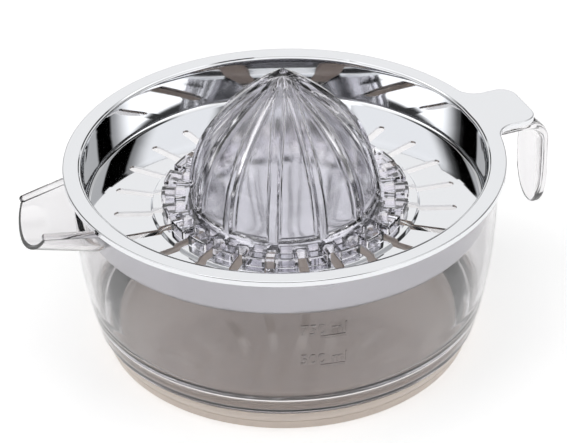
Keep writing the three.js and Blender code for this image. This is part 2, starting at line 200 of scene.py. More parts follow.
# The camera's screen is one broad soft-edged panel, and the ring is a dark strip low down.
from_front = calculate("SUBTRACT", 180, off_middle)
front_screen = product(
    rising(from_front, FRONT_HALF_WIDTH - FRONT_BLUR, FRONT_HALF_WIDTH, 1, 0),
    rising(height, FRONT_LOW, FRONT_LOW + FRONT_LOW_BLUR),
    rising(height, DOME_TOP, DOME_TOP_FULL, 1, 0),
)
ring = product(
    rising(height, RING_LOW, RING_LOW + RING_BLUR),
    rising(height, RING_HIGH, RING_HIGH + RING_BLUR, 1, 0),
)
dome_strength = product(
    around,
    calculate("SUBTRACT", 1, product(front_screen, FRONT_DARKNESS)),
    calculate("SUBTRACT", 1, product(ring, RING_DARKNESS)),
)
dome = nodes.new("ShaderNodeBackground")
links.new(dome_strength, dome.inputs["Strength"])
dome.inputs["Color"].default_value = (1, 1, 1, 1)
backdrop = nodes.new("ShaderNodeBackground")
backdrop.inputs["Color"].default_value = (1, 1, 1, 1)
seen = nodes.new("ShaderNodeLightPath")
choose = nodes.new("ShaderNodeMixShader")
links.new(seen.outputs["Is Camera Ray"], choose.inputs["Fac"])
links.new(dome.outputs["Background"], choose.inputs[1])
links.new(backdrop.outputs["Background"], choose.inputs[2])
out = nodes.new("ShaderNodeOutputWorld")
links.new(choose.outputs["Shader"], out.inputs["Surface"])

# One large soft lamp overhead, a little in front of the object.
LAMP_SIZE = 900 * MM
LAMP_PLACE = Vector((-250, -350, 1100)) * MM
LAMP_POWER = 2

lamp_data = bpy.data.lights.new("soft_lamp", "AREA")
lamp_data.size = LAMP_SIZE
lamp_data.energy = LAMP_POWER
lamp = bpy.data.objects.new("soft_lamp", lamp_data)
lamp_turn = LAMP_PLACE.to_track_quat("Z", "Y").to_matrix().to_4x4()
lamp.matrix_world = Matrix.Translation(LAMP_PLACE) @ lamp_turn
bpy.context.scene.collection.objects.link(lamp)

# The table top: a plain white sheet, lit a little from below, so that shadows stay faint.
FLOOR_SIZE = 12
FLOOR_DEPTH = 0.1 * MM  # it lies this far under the foot
FLOOR_GLOW = 0.5
FLOOR_COLOUR = (0.8, 0.8, 0.8, 1)
FLOOR_ROUGHNESS = 0.9
FLOOR_SHINE = 0.1


def piece(name, bm, material, smooth_angle=None):
    """A finished bmesh as an object at the origin, smooth but for edges over an angle."""
    mesh = bpy.data.meshes.new(name)
    bm.to_mesh(mesh)
    bm.free()
    made = bpy.data.objects.new(name, mesh)
    bpy.context.scene.collection.objects.link(made)
    if material:
        mesh.materials.append(material)
    if smooth_angle:
        shade_smooth(mesh, smooth_angle)
    return made


def shade_smooth(mesh, smooth_angle):
    for polygon in mesh.polygons:
        polygon.use_smooth = True
    mesh.set_sharp_from_angle(angle=math.radians(smooth_angle))


def new_material(name):
    """A material with a Principled shader; gives the material, its tree and that shader."""
    material = bpy.data.materials.new(name)
    material.use_nodes = True
    shader = material.node_tree.nodes["Principled BSDF"]
    return material, material.node_tree, shader


paper, paper_tree, paper_shader = new_material("table_top")
paper_shader.inputs["Base Color"].default_value = FLOOR_COLOUR
paper_shader.inputs["Roughness"].default_value = FLOOR_ROUGHNESS
paper_shader.inputs["Specular IOR Level"].default_value = FLOOR_SHINE
paper_shader.inputs["Emission Color"].default_value = (1, 1, 1, 1)
paper_shader.inputs["Emission Strength"].default_value = FLOOR_GLOW
floor_bm = bmesh.new()
bmesh.ops.create_grid(floor_bm, x_segments=1, y_segments=1, size=FLOOR_SIZE / 2)
bmesh.ops.translate(floor_bm, vec=(0, 0, -FLOOR_DEPTH), verts=floor_bm.verts)
floor = piece("table_top", floor_bm, paper)

# Foot pad: a soft translucent cup, moulded in one and pushed on under the jug.
# A shallow groove runs round its wall, half way up.
PAD_BASE_RADIUS = 70.2 * MM
PAD_TOP_RADIUS = 73.4 * MM
PAD_HEIGHT = 9.5 * MM
PAD_WALL = 3 * MM
PAD_FLOOR = 2.5 * MM
PAD_LOWER_EDGE = 1.2 * MM
PAD_UPPER_EDGE = 0.5 * MM
PAD_GROOVE_DEPTH = 0.25 * MM
PAD_GROOVE_HALF_WIDTH = 0.5 * MM
PAD_GROOVE_STEPS = 6
PAD_COLOUR = (0.88, 0.78, 0.7, 1)
PAD_ROUGHNESS = 0.3
PAD_REFRACTION = 1.42
PAD_CLEARNESS = 0.4
PAD_GRAIN_SCALE = 900
PAD_GRAIN_DEPTH = 0.02 * MM
PAD_GRAIN_DETAIL = 3
PAD_SMOOTH_ANGLE = 30
FIT_GAP = 0.3 * MM  # between pieces that rest on each other
TURN_STEPS = 240
SMALL_ARC_STEPS = 5
MERGE_DISTANCE = 0.001 * MM


def arc(x, y, radius, start, end, steps=SMALL_ARC_STEPS):
    """Points of an arc round a centre, with its angles in degrees."""
    angles = [math.radians(start + (end - start) * i / steps) for i in range(steps + 1)]
    return [(x + radius * math.cos(a), y + radius * math.sin(a)) for a in angles]


def face_outwards(bm):
    """Turns all faces of a closed shape outwards."""
    bmesh.ops.recalc_face_normals(bm, faces=bm.faces)
    if bm.calc_volume(signed=True) < 0:
        bmesh.ops.reverse_faces(bm, faces=bm.faces)


def turned(profile, steps=TURN_STEPS):
    """A shape turned round the Z axis from points of radius and height."""
    bm = bmesh.new()
    verts = [bm.verts.new((radius, 0, height)) for radius, height in profile]
    edges = [bm.edges.new(pair) for pair in zip(verts, verts[1:])]
    bmesh.ops.spin(
        bm,
        geom=verts + edges,
        cent=(0, 0, 0),
        axis=(0, 0, 1),
        angle=2 * math.pi,
        steps=steps,
        use_merge=True,
    )
    bmesh.ops.remove_doubles(bm, verts=bm.verts, dist=MERGE_DISTANCE)
    face_outwards(bm)
    return bm


def pad_radius(z):
    return PAD_BASE_RADIUS + (PAD_TOP_RADIUS - PAD_BASE_RADIUS) * z / PAD_HEIGHT


def pad_groove():
    """Half a sine wave pressed into the wall, from its lower to its upper edge."""
    points = []
    for i in range(PAD_GROOVE_STEPS + 1):
        share = i / PAD_GROOVE_STEPS
        z = PAD_HEIGHT / 2 + PAD_GROOVE_HALF_WIDTH * (2 * share - 1)
        points.append((pad_radius(z) - PAD_GROOVE_DEPTH * math.sin(math.pi * share), z))
    return points


pad_lower_centre = pad_radius(PAD_LOWER_EDGE) - PAD_LOWER_EDGE
pad_upper_centre = pad_radius(PAD_HEIGHT - PAD_UPPER_EDGE) - PAD_UPPER_EDGE
pad_profile = [
    (0, 0),
    *arc(pad_lower_centre, PAD_LOWER_EDGE, PAD_LOWER_EDGE, -90, 0),
    *pad_groove(),
    *arc(pad_upper_centre, PAD_HEIGHT - PAD_UPPER_EDGE, PAD_UPPER_EDGE, 0, 90),
    (pad_radius(PAD_HEIGHT) - PAD_WALL, PAD_HEIGHT),
    (pad_radius(PAD_FLOOR) - PAD_WALL, PAD_FLOOR),
    (0, PAD_FLOOR),
]


def noise_bump(tree, scale, depth, detail):
    """A fine uneven surface: gives the normal of a bump driven by noise."""
    coordinates = tree.nodes.new("ShaderNodeTexCoord")
    noise = tree.nodes.new("ShaderNodeTexNoise")
    noise.inputs["Scale"].default_value = scale
    noise.inputs["Detail"].default_value = detail
    tree.links.new(coordinates.outputs["Object"], noise.inputs["Vector"])
    bump = tree.nodes.new("ShaderNodeBump")
    bump.inputs["Strength"].default_value = 1
    bump.inputs["Distance"].default_value = depth
    tree.links.new(noise.outputs["Fac"], bump.inputs["Height"])
    return bump.outputs["Normal"]


pad_material, pad_tree, pad_shader = new_material("soft_clear_rubber")
pad_shader.inputs["Base Color"].default_value = PAD_COLOUR
pad_shader.inputs["Roughness"].default_value = PAD_ROUGHNESS
pad_shader.inputs["IOR"].default_value = PAD_REFRACTION
pad_shader.inputs["Transmission Weight"].default_value = PAD_CLEARNESS
pad_grain = noise_bump(pad_tree, PAD_GRAIN_SCALE, PAD_GRAIN_DEPTH, PAD_GRAIN_DETAIL)
pad_tree.links.new(pad_grain, pad_shader.inputs["Normal"])
foot_pad = piece("foot_pad_moulded", turned(pad_profile), pad_material, PAD_SMOOTH_ANGLE)
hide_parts("foot_pad")
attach(foot_pad, "jug")

# Jug: one clear polished moulding with a swelling wall, a rounded rim and a thick floor.
# The spout, the handle and the fill marks are moulded on, so they are joined to the wall.
# It starts as a solid, and the room inside is cut out last.
JUG_HEEL_STEP = 0.8 * MM  # how far the wall's foot stands outside the pad
JUG_BELLY_RADIUS = 80.3 * MM
JUG_BELLY_HEIGHT = 58 * MM
JUG_RIM_HEIGHT = 73.5 * MM
JUG_WALL = 2.2 * MM
JUG_FLOOR = 3.5 * MM
JUG_FLOOR_FILLET = 20 * MM
JUG_FILLET_STEPS = 16
JUG_HEEL_EDGE = 0.6 * MM
JUG_WALL_STEPS = 24

jug_bottom = PAD_FLOOR + FIT_GAP
jug_heel_height = PAD_HEIGHT + FIT_GAP
jug_floor_top = jug_bottom + JUG_FLOOR
jug_heel_radius = PAD_TOP_RADIUS + JUG_HEEL_STEP


def jug_radius(z):
    """The wall's outside, widest at the belly and drawn in a little to the rim."""
    share = (z - JUG_BELLY_HEIGHT) / (jug_heel_height - JUG_BELLY_HEIGHT)
    return JUG_BELLY_RADIUS - (JUG_BELLY_RADIUS - jug_heel_radius) * share**2


def wall_points(low, high, inset):
    """The wall's outside between two heights, moved inwards by an inset."""
    heights = [low + (high - low) * i / JUG_WALL_STEPS for i in range(JUG_WALL_STEPS + 1)]
    return [(jug_radius(z) - inset, z) for z in heights]


def plug_radius(z):
    return pad_radius(z) - PAD_WALL - FIT_GAP


jug_rim_start = JUG_RIM_HEIGHT - JUG_WALL / 2
jug_rim_centre = jug_radius(jug_rim_start) - JUG_WALL / 2
jug_corner_height = jug_floor_top + JUG_FLOOR_FILLET
jug_corner_radius = jug_radius(jug_corner_height) - JUG_WALL - JUG_FLOOR_FILLET
jug_heel_centre = jug_radius(jug_heel_height + JUG_HEEL_EDGE) - JUG_HEEL_EDGE
jug_inside = [
    *arc(jug_corner_radius, jug_corner_height, JUG_FLOOR_FILLET, -90, 0, JUG_FILLET_STEPS),
    *wall_points(jug_corner_height, jug_rim_start, JUG_WALL)[1:],
]
jug_profile = [
    (0, jug_bottom),
    (plug_radius(jug_bottom), jug_bottom),
    (plug_radius(jug_heel_height), jug_heel_height),
    *arc(jug_heel_centre, jug_heel_height + JUG_HEEL_EDGE, JUG_HEEL_EDGE, -90, 0),
    *wall_points(jug_heel_height + JUG_HEEL_EDGE, jug_rim_start, 0)[1:],
    *arc(jug_rim_centre, jug_rim_start, JUG_WALL / 2, 0, 90)[1:],
    (0, JUG_RIM_HEIGHT),
]
jug = piece("jug_moulded", turned(jug_profile), None)

# Spout: a round-bottomed trough that runs out level from the rim, with the wall cut away at
# its root. A round bead stiffens both top edges, and the lip's top corners stand back.
SPOUT_LENGTH = 23.4 * MM
SPOUT_LEAN = 5 * MM
SPOUT_RISE = 0.3 * MM
SPOUT_ROOT_HALF_WIDTH = 20.7 * MM
SPOUT_TIP_HALF_WIDTH = 14.9 * MM
SPOUT_ROOT_DEPTH = 16.1 * MM  # below the beads' centres
SPOUT_TIP_DEPTH = 10 * MM
SPOUT_WALL = 1.8 * MM
SPOUT_BEAD = 1.4 * MM  # the beads' radius
BEAD_SEGMENTS = 24
BEAD_RINGS = 16
SPOUT_SQUARENESS = 1.8
SPOUT_SECTION_STEPS = 40
SPOUT_SECTIONS = 6
CUT_OVERRUN = 2 * MM

spout_top = JUG_RIM_HEIGHT + SPOUT_RISE
spout_edge = spout_top - SPOUT_BEAD
spout_root = jug_radius(spout_top)
spout_reach = spout_root + SPOUT_LENGTH
spout_start = math.sqrt((spout_root - JUG_WALL) ** 2 - SPOUT_ROOT_HALF_WIDTH**2) - SPOUT_BEAD


def blend(start, end, share):
    return start + (end - start) * share


def trough(start, end, shrink, rise):
    """A solid through the trough's sections, shrunk by a wall and raised at the top."""
    bm = bmesh.new()
    loops = []
    for i in range(SPOUT_SECTIONS + 1):
        reach = blend(start, end, i / SPOUT_SECTIONS)
        share = (reach - spout_root) / SPOUT_LENGTH
        half_width = blend(SPOUT_ROOT_HALF_WIDTH, SPOUT_TIP_HALF_WIDTH, share) - shrink
        depth = blend(SPOUT_ROOT_DEPTH, SPOUT_TIP_DEPTH, share) - shrink
        points = []
        for k in range(SPOUT_SECTION_STEPS + 1):
            angle = math.pi * k / SPOUT_SECTION_STEPS
            cosine = math.cos(angle)
            across = math.copysign(abs(cosine) ** (2 / SPOUT_SQUARENESS), cosine)
            down = max(math.sin(angle), 0) ** (2 / SPOUT_SQUARENESS)
            lean = share * SPOUT_LEAN * (1 - down)
            points.append((lean - reach, half_width * across, spout_edge - depth * down))
        if rise:
            points += [(x, y, spout_edge + rise) for x, y, z in (points[-1], points[0])]
        verts = [bm.verts.new(p) for p in points]
        edges = [bm.edges.new(pair) for pair in zip(verts, verts[1:] + verts[:1])]
        loops.append(edges)
    for near, far in zip(loops, loops[1:]):
        bmesh.ops.bridge_loops(bm, edges=near + far)
    bmesh.ops.holes_fill(bm, edges=loops[0] + loops[-1])
    face_outwards(bm)
    return piece("trough", bm, None)


def spout_bead(side):
    """A round bead with round ends along one top edge."""
    def edge(reach):
        share = (reach - spout_root) / SPOUT_LENGTH
        half_width = blend(SPOUT_ROOT_HALF_WIDTH, SPOUT_TIP_HALF_WIDTH, share)
        y = side * (half_width - SPOUT_WALL / 2)
        return Vector((share * SPOUT_LEAN - reach, y, spout_edge))

    start = edge(spout_start)
    end = edge(spout_reach)
    bm = bmesh.new()
    bmesh.ops.create_uvsphere(
        bm, u_segments=BEAD_SEGMENTS, v_segments=BEAD_RINGS, radius=SPOUT_BEAD
    )
    outer = [v for v in bm.verts if v.co.z > MERGE_DISTANCE]
    bmesh.ops.translate(bm, vec=(0, 0, (end - start).length), verts=outer)
    turn = (end - start).to_track_quat("Z", "Y").to_matrix()
    bmesh.ops.rotate(bm, cent=(0, 0, 0), matrix=turn, verts=bm.verts)
    bmesh.ops.translate(bm, vec=start, verts=bm.verts)
    return piece("bead", bm, None)


def combine(target, tool, operation):
    """Joins a tool to a piece, cuts it out or keeps what they share, and removes the tool."""
    modifier = target.modifiers.new("combine", "BOOLEAN")
    modifier.operation = operation
    modifier.object = tool
    modifier.solver = "EXACT"
    depsgraph = bpy.context.evaluated_depsgraph_get()
    mesh = bpy.data.meshes.new_from_object(target.evaluated_get(depsgraph))
    target.modifiers.clear()
    target.data = mesh
    bpy.data.objects.remove(tool)
    return target


combine(jug, trough(spout_start, spout_reach, 0, 0), "UNION")
channel_rise = SPOUT_BEAD + CUT_OVERRUN
channel = trough(jug_corner_radius, spout_reach + CUT_OVERRUN, SPOUT_WALL, channel_rise)
combine(jug, channel, "DIFFERENCE")
for side in (-1, 1):
    combine(jug, spout_bead(side), "UNION")

# Handle: a strap that runs out under the thumb tab and turns down into a tongue with a
# rounded end. The tongue hangs free, so fingers reach in from both sides and from below.
HANDLE_LENGTH = 27 * MM
HANDLE_HEIGHT = 42.8 * MM
HANDLE_HALF_WIDTH = 10.4 * MM
HANDLE_THICKNESS = 3.6 * MM
HANDLE_BEND = 10 * MM
HANDLE_END_HEIGHT = 17 * MM
HANDLE_TOP = 71.6 * MM
HANDLE_EDGE = 1.3 * MM
HANDLE_EDGE_STEPS = 4
HANDLE_SHARP_ANGLE = 40
HANDLE_BEND_STEPS = 12
HANDLE_END_STEPS = 32
CLEAN_DISTANCE = 0.005 * MM  # points this close and bends this slight go before a bevel
CLEAN_ANGLE = math.radians(1)


def slab(outline, depth):
    """A flat outline pushed up by a depth, as a closed solid."""
    bm = bmesh.new()
    verts = [bm.verts.new((x, y, 0)) for x, y in outline]
    face = bm.faces.new(verts)
    pushed = bmesh.ops.extrude_face_region(bm, geom=[face])
    raised = [v for v in pushed["geom"] if isinstance(v, bmesh.types.BMVert)]
    bmesh.ops.translate(bm, vec=(0, 0, depth), verts=raised)
    face_outwards(bm)
    return bm


def stand_up(bm, along, across, length):
    """Turns a slab so that its outline stands upright, centred along its depth."""
    turn = Matrix((along, Vector((0, 0, 1)), across)).transposed().to_4x4()
    bmesh.ops.translate(bm, vec=(0, 0, -length / 2), verts=bm.verts)
    bmesh.ops.transform(bm, matrix=turn, verts=bm.verts)
    face_outwards(bm)
    return bm


handle_reach = jug_radius(HANDLE_TOP) + HANDLE_LENGTH
handle_bottom = HANDLE_TOP - HANDLE_HEIGHT
handle_root = jug_radius(HANDLE_TOP) - JUG_WALL / 2
handle_bend_x = handle_reach - HANDLE_BEND
handle_bend_z = HANDLE_TOP - HANDLE_BEND
strap_outline = [
    (handle_root, HANDLE_TOP - HANDLE_THICKNESS),
    *arc(handle_bend_x, handle_bend_z, HANDLE_BEND - HANDLE_THICKNESS, 90, 0, HANDLE_BEND_STEPS),
    (handle_reach - HANDLE_THICKNESS, handle_bottom),
    (handle_reach, handle_bottom),
    *arc(handle_bend_x, handle_bend_z, HANDLE_BEND, 0, 90, HANDLE_BEND_STEPS),
    (handle_root, HANDLE_TOP),
]
strap_bm = stand_up(
    slab(strap_outline, 2 * HANDLE_HALF_WIDTH),
    Vector((1, 0, 0)),
    Vector((0, -1, 0)),
    2 * HANDLE_HALF_WIDTH,
)
handle = piece("strap", strap_bm, None)
handle_end_centre = handle_bottom + HANDLE_END_HEIGHT
end_points = [
    (y, handle_end_centre + z * HANDLE_END_HEIGHT / HANDLE_HALF_WIDTH)
    for y, z in arc(0, 0, HANDLE_HALF_WIDTH, 180, 360, HANDLE_END_STEPS)
]
tongue_outline = [
    *end_points,
    (HANDLE_HALF_WIDTH, HANDLE_TOP + CUT_OVERRUN),
    (-HANDLE_HALF_WIDTH, HANDLE_TOP + CUT_OVERRUN),
]
tongue_bm = stand_up(
    slab(tongue_outline, 2 * (handle_reach + CUT_OVERRUN)),
    Vector((0, 1, 0)),
    Vector((1, 0, 0)),
    2 * (handle_reach + CUT_OVERRUN),
)
combine(handle, piece("tongue", tongue_bm, None), "INTERSECT")


def bevel_edges(target, width, segments, least_angle):
    """Rounds the edges of a piece that are sharper than an angle."""
    bm = bmesh.new()
    bm.from_mesh(target.data)
    bmesh.ops.remove_doubles(bm, verts=bm.verts, dist=CLEAN_DISTANCE)
    bmesh.ops.dissolve_limit(bm, angle_limit=CLEAN_ANGLE, verts=bm.verts, edges=bm.edges)
    limit = math.radians(least_angle)
    sharp = [e for e in bm.edges if len(e.link_faces) == 2 and e.calc_face_angle() > limit]
    bmesh.ops.bevel(
        bm,
        geom=sharp,
        offset=width,
        offset_type="OFFSET",
        affect="EDGES",
        segments=segments,
        profile=0.5,
        material=-1,
        clamp_overlap=True,
    )
    bm.to_mesh(target.data)
    bm.free()


bevel_edges(handle, HANDLE_EDGE, HANDLE_EDGE_STEPS, HANDLE_SHARP_ANGLE)
combine(jug, handle, "UNION")

# Fill marks: raised bars outside the wall, each with its number of millilitres above it.
# The heights are where the jug holds 500 and 750 ml.
MARK_HEIGHTS = {"500": 34.66 * MM, "750": 48.06 * MM}
MARK_ANGLE = math.radians(-99.8)
MARK_LENGTH = 9 * MM
MARK_HEIGHT = 0.9 * MM
MARK_STAND_OUT = 0.3 * MM
MARK_CUTS = 6  # across the bar, so that it can bend round the wall
NUMBER_HEIGHT = 4.4 * MM
NUMBER_CAP_SHARE = 0.7  # height of a digit as a share of the letters' size
NUMBER_RISE = 1.3 * MM  # from the bar up to its number
NUMBER_SHIFT = -3.2 * MM  # from the bar's middle to the number's
NUMBER_CURVE_STEPS = 3


def on_wall(bm, height, shift):
    """Wraps a flat drawing in X and Y round the jug's wall at a height."""
    for vert in bm.verts:
        z = height + vert.co.y
        radius = jug_radius(z) + MARK_STAND_OUT + vert.co.z
        angle = MARK_ANGLE + (vert.co.x + shift) / jug_radius(height)
        vert.co = (radius * math.cos(angle), radius * math.sin(angle), z)
    face_outwards(bm)
    return bm


def mark_bar(height):
    bm = slab(
        [
            (-MARK_LENGTH / 2, -MARK_HEIGHT / 2),
            (MARK_LENGTH / 2, -MARK_HEIGHT / 2),
            (MARK_LENGTH / 2, MARK_HEIGHT / 2),
            (-MARK_LENGTH / 2, MARK_HEIGHT / 2),
        ],
        -JUG_WALL / 2,
    )
    long_edges = [e for e in bm.edges if e.calc_length() > MARK_LENGTH / 2]
    bmesh.ops.subdivide_edges(bm, edges=long_edges, cuts=MARK_CUTS)
    return piece("bar", on_wall(bm, height, 0), None)


def mark_number(text, height):
    curve = bpy.data.curves.new("number", "FONT")
    curve.body = text
    curve.size = NUMBER_HEIGHT / NUMBER_CAP_SHARE
    curve.align_x = "CENTER"
    curve.extrude = JUG_WALL / 4
    curve.resolution_u = NUMBER_CURVE_STEPS
    written = bpy.data.objects.new("number", curve)
    bpy.context.scene.collection.objects.link(written)
    depsgraph = bpy.context.evaluated_depsgraph_get()
    mesh = bpy.data.meshes.new_from_object(written.evaluated_get(depsgraph))
    bpy.data.objects.remove(written)
    bm = bmesh.new()
    bm.from_mesh(mesh)
    bmesh.ops.remove_doubles(bm, verts=bm.verts, dist=MERGE_DISTANCE)
    place = (0, NUMBER_RISE, -JUG_WALL / 4)
    bmesh.ops.translate(bm, vec=place, verts=bm.verts)
    return piece("number", on_wall(bm, height, NUMBER_SHIFT), None)


for text, height in MARK_HEIGHTS.items():
    combine(jug, mark_bar(height), "UNION")
    combine(jug, mark_number(text + " ml", height), "UNION")

# The jug's inside: with all that is moulded on joined, the solid is hollowed in one cut.
# So the spout's root and its beads end flush with the inside of the wall.


def cavity():
    """The room inside the jug, up past the rim, whose inner edge it leaves round."""
    top = spout_top + CUT_OVERRUN
    inner_rim = arc(jug_rim_centre, jug_rim_start, JUG_WALL / 2, 180, 90)[1:]
    upper_end = [(jug_rim_centre, top), (0, top)]
    bm = turned([(0, jug_floor_top), *jug_inside, *inner_rim, *upper_end])
    return piece("cavity", bm, None)


combine(jug, cavity(), "DIFFERENCE")

# Clear plastic: the jug and the cone are moulded from it. It is polished, with faint waves
# from the moulding and a slightly uneven shine. The jug has its own colour.
PLASTIC_REFRACTION = 1.5
HAZE_SCALE = 60
HAZE_DETAIL = 2
HAZE_FROM = 0.35
HAZE_TO = 0.7
WAVE_SCALE = 45
WAVE_DEPTH = 0.03 * MM
WAVE_DETAIL = 1
JUG_COLOUR = (0.86, 0.85, 0.86)
JUG_ROUGHNESS = 0.05
JUG_SMOOTH_ANGLE = 32


def let_light_through(tree, shader, colour):
    """Lets the lamps and the dome shine through a clear piece, a little tinted."""
    through = tree.nodes.new("ShaderNodeBsdfTransparent")
    through.inputs["Color"].default_value = (*colour, 1)
    path = tree.nodes.new("ShaderNodeLightPath")
    mix = tree.nodes.new("ShaderNodeMixShader")
    output = tree.nodes["Material Output"]
    tree.links.new(path.outputs["Is Shadow Ray"], mix.inputs["Fac"])
    tree.links.new(shader.outputs["BSDF"], mix.inputs[1])
    tree.links.new(through.outputs["BSDF"], mix.inputs[2])
    tree.links.new(mix.outputs["Shader"], output.inputs["Surface"])


def clear_plastic(name, colour, roughness):
    """A clear moulded plastic: polished, with faint flow waves and a little haze."""
    material, tree, shader = new_material(name)
    let_light_through(tree, shader, colour)
    shader.inputs["Base Color"].default_value = (*colour, 1)
    shader.inputs["IOR"].default_value = PLASTIC_REFRACTION
    shader.inputs["Transmission Weight"].default_value = 1
    coordinates = tree.nodes.new("ShaderNodeTexCoord")
    haze = tree.nodes.new("ShaderNodeTexNoise")
    haze.inputs["Scale"].default_value = HAZE_SCALE
    haze.inputs["Detail"].default_value = HAZE_DETAIL
    tree.links.new(coordinates.outputs["Object"], haze.inputs["Vector"])
    spread = tree.nodes.new("ShaderNodeMapRange")
    spread.inputs["From Min"].default_value = HAZE_FROM
    spread.inputs["From Max"].default_value = HAZE_TO
    spread.inputs["To Min"].default_value = roughness / 2
    spread.inputs["To Max"].default_value = roughness
    tree.links.new(haze.outputs["Fac"], spread.inputs["Value"])
    tree.links.new(spread.outputs["Result"], shader.inputs["Roughness"])
    waves = noise_bump(tree, WAVE_SCALE, WAVE_DEPTH, WAVE_DETAIL)
    tree.links.new(waves, shader.inputs["Normal"])
    return material


jug_material = clear_plastic("clear_plastic_jug", JUG_COLOUR, JUG_ROUGHNESS)
jug.data.materials.clear()
jug.data.materials.append(jug_material)
shade_smooth(jug.data, JUG_SMOOTH_ANGLE)
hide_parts("jug")
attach(jug, "jug")

# Strainer dish: one sheet of stainless steel, pressed into a bowl, polished inside and slotted.
# Its flange turns down at the edge and reaches out over the handle as a thumb tab.
SHEET = 0.8 * MM
FLANGE_TOP = 74.6 * MM
FLANGE_OVERHANG = 3.6 * MM
FLANGE_DROP = 2.1 * MM
FLANGE_EDGE = 0.45 * MM
CREASE_DROP = 0.62 * MM  # a small steep step round the mouth, like a drawn line
CREASE_WIDTH = 0.33 * MM
CREASE_ROUNDING = 0.08 * MM
BORDER_DROP = 0.15 * MM  # the flange's inner border dips a little towards the mouth
BORDER_WIDTH = 0.8 * MM
BOWL_CLEARANCE = 0.4 * MM
BOWL_MOUTH_ROUNDING = 0.65 * MM
BOWL_TAPER = 0.6 * MM
BOWL_DEPTH = 18.4 * MM
BOWL_BEND = 2 * MM
FLOOR_FALL = 1.8 * MM
CENTRE_RISE = 1.2 * MM
CENTRE_SLOPE = 3.4 * MM
CENTRE_MARGIN = 0.7 * MM
CENTRE_ROUNDING = 0.3 * MM
STEP_WIDTH = 0.65 * MM  # the slope ends in a short steep step
STEP_HEIGHT = 1.2 * MM
STEP_ROUNDING = 0.2 * MM
BOWL_SWELL = 0.2 * MM
BOWL_WALL_STEPS = 10
BOWL_BEND_STEPS = 10
MOUTH_END_ANGLE = 100
MOUTH_STEPS = 8
ROUNDED_STEPS = 4
FLAT_BORDER = 0.4 * MM  # a flat strip beside a rounding keeps the flange's reflection flat
TAB_LENGTH = 17.2 * MM
TAB_HALF_WIDTH = 13.3 * MM
TAB_CORNER = 6.5 * MM
TAB_BLEND = 8 * MM
TAB_BLEND_STEPS = 14
TAB_CORNER_STEPS = 10
FLANGE_STEPS = 200
FLANGE_EDGE_STEPS = 6
UNDERSIDE_CORNER = 0.1 * MM
SKIRT_RADIUS = 46.9 * MM

flange_radius = jug_radius(JUG_RIM_HEIGHT) + FLANGE_OVERHANG
mouth_radius = jug_radius(JUG_RIM_HEIGHT) - JUG_WALL - BOWL_CLEARANCE - SHEET
floor_edge_height = FLANGE_TOP - BOWL_DEPTH
floor_foot_height = floor_edge_height - FLOOR_FALL
centre_height = floor_foot_height + CENTRE_RISE
centre_radius = SKIRT_RADIUS + CENTRE_MARGIN
step_radius = centre_radius + CENTRE_SLOPE
mouth_x = mouth_radius + BOWL_MOUTH_ROUNDING
crease_foot = FLANGE_TOP - CREASE_DROP
mouth_z = crease_foot - BOWL_MOUTH_ROUNDING
bowl_base_radius = mouth_radius - BOWL_TAPER


def rounded(before, corner, after, reach):
    """A corner of a path, rounded over a reach on both sides."""
    a, c, b = Vector(before), Vector(corner), Vector(after)
    start = c + (a - c).normalized() * reach
    end = c + (b - c).normalized() * reach
    points = []
    for i in range(ROUNDED_STEPS + 1):
        share = i / ROUNDED_STEPS
        point = start * (1 - share) ** 2 + c * 2 * share * (1 - share) + end * share**2
        points.append(tuple(point))
    return points


def bowl_wall():
    """The wall between its foot and its mouth, swelling a little half way up."""
    points = []
    low = floor_edge_height + BOWL_BEND
    for i in range(1, BOWL_WALL_STEPS):
        share = i / BOWL_WALL_STEPS
        swell = BOWL_SWELL * 4 * share * (1 - share)
        points.append((bowl_base_radius + BOWL_TAPER * share + swell, blend(low, mouth_z, share)))
    return points


crease_start = (mouth_x + 2 * CREASE_ROUNDING, crease_foot)
crease_end = (crease_start[0] + CREASE_WIDTH, FLANGE_TOP - BORDER_DROP)
border_end = (crease_end[0] + BORDER_WIDTH, FLANGE_TOP)
flat_start = (border_end[0] + FLAT_BORDER, FLANGE_TOP)
slope_top = (centre_radius, centre_height)
step_top = (step_radius - STEP_WIDTH, floor_foot_height + STEP_HEIGHT)
step_foot = (step_radius, floor_foot_height)
floor_edge = (bowl_base_radius - BOWL_BEND, floor_edge_height)
bowl_path = [
    (0, centre_height),
    *rounded((0, centre_height), slope_top, step_top, CENTRE_ROUNDING),
    *rounded(slope_top, step_top, step_foot, STEP_ROUNDING),
    *rounded(step_top, step_foot, floor_edge, STEP_ROUNDING),
    *arc(floor_edge[0], floor_edge_height + BOWL_BEND, BOWL_BEND, -90, 0, BOWL_BEND_STEPS),
    *bowl_wall(),
    *arc(mouth_x, mouth_z, BOWL_MOUTH_ROUNDING, 180, MOUTH_END_ANGLE, MOUTH_STEPS),
    *rounded((mouth_x, crease_foot), crease_start, crease_end, CREASE_ROUNDING),
    *rounded(crease_start, crease_end, border_end, CREASE_ROUNDING),
    *rounded(crease_end, border_end, flat_start, CREASE_ROUNDING),
    flat_start,
]
# The underside keeps the sheet's thickness, but leaves the fine steps out.
bowl_underside = [
    (0, centre_height - SHEET),
    (centre_radius, centre_height - SHEET),
    (step_radius, floor_foot_height - SHEET),
    *arc(
        floor_edge[0],
        floor_edge_height + BOWL_BEND,
        BOWL_BEND + SHEET,
        -90,
        0,
        BOWL_BEND_STEPS,
    ),
    (mouth_radius + SHEET, FLANGE_TOP - SHEET - UNDERSIDE_CORNER),
    (mouth_radius + SHEET + UNDERSIDE_CORNER, FLANGE_TOP - SHEET),
]


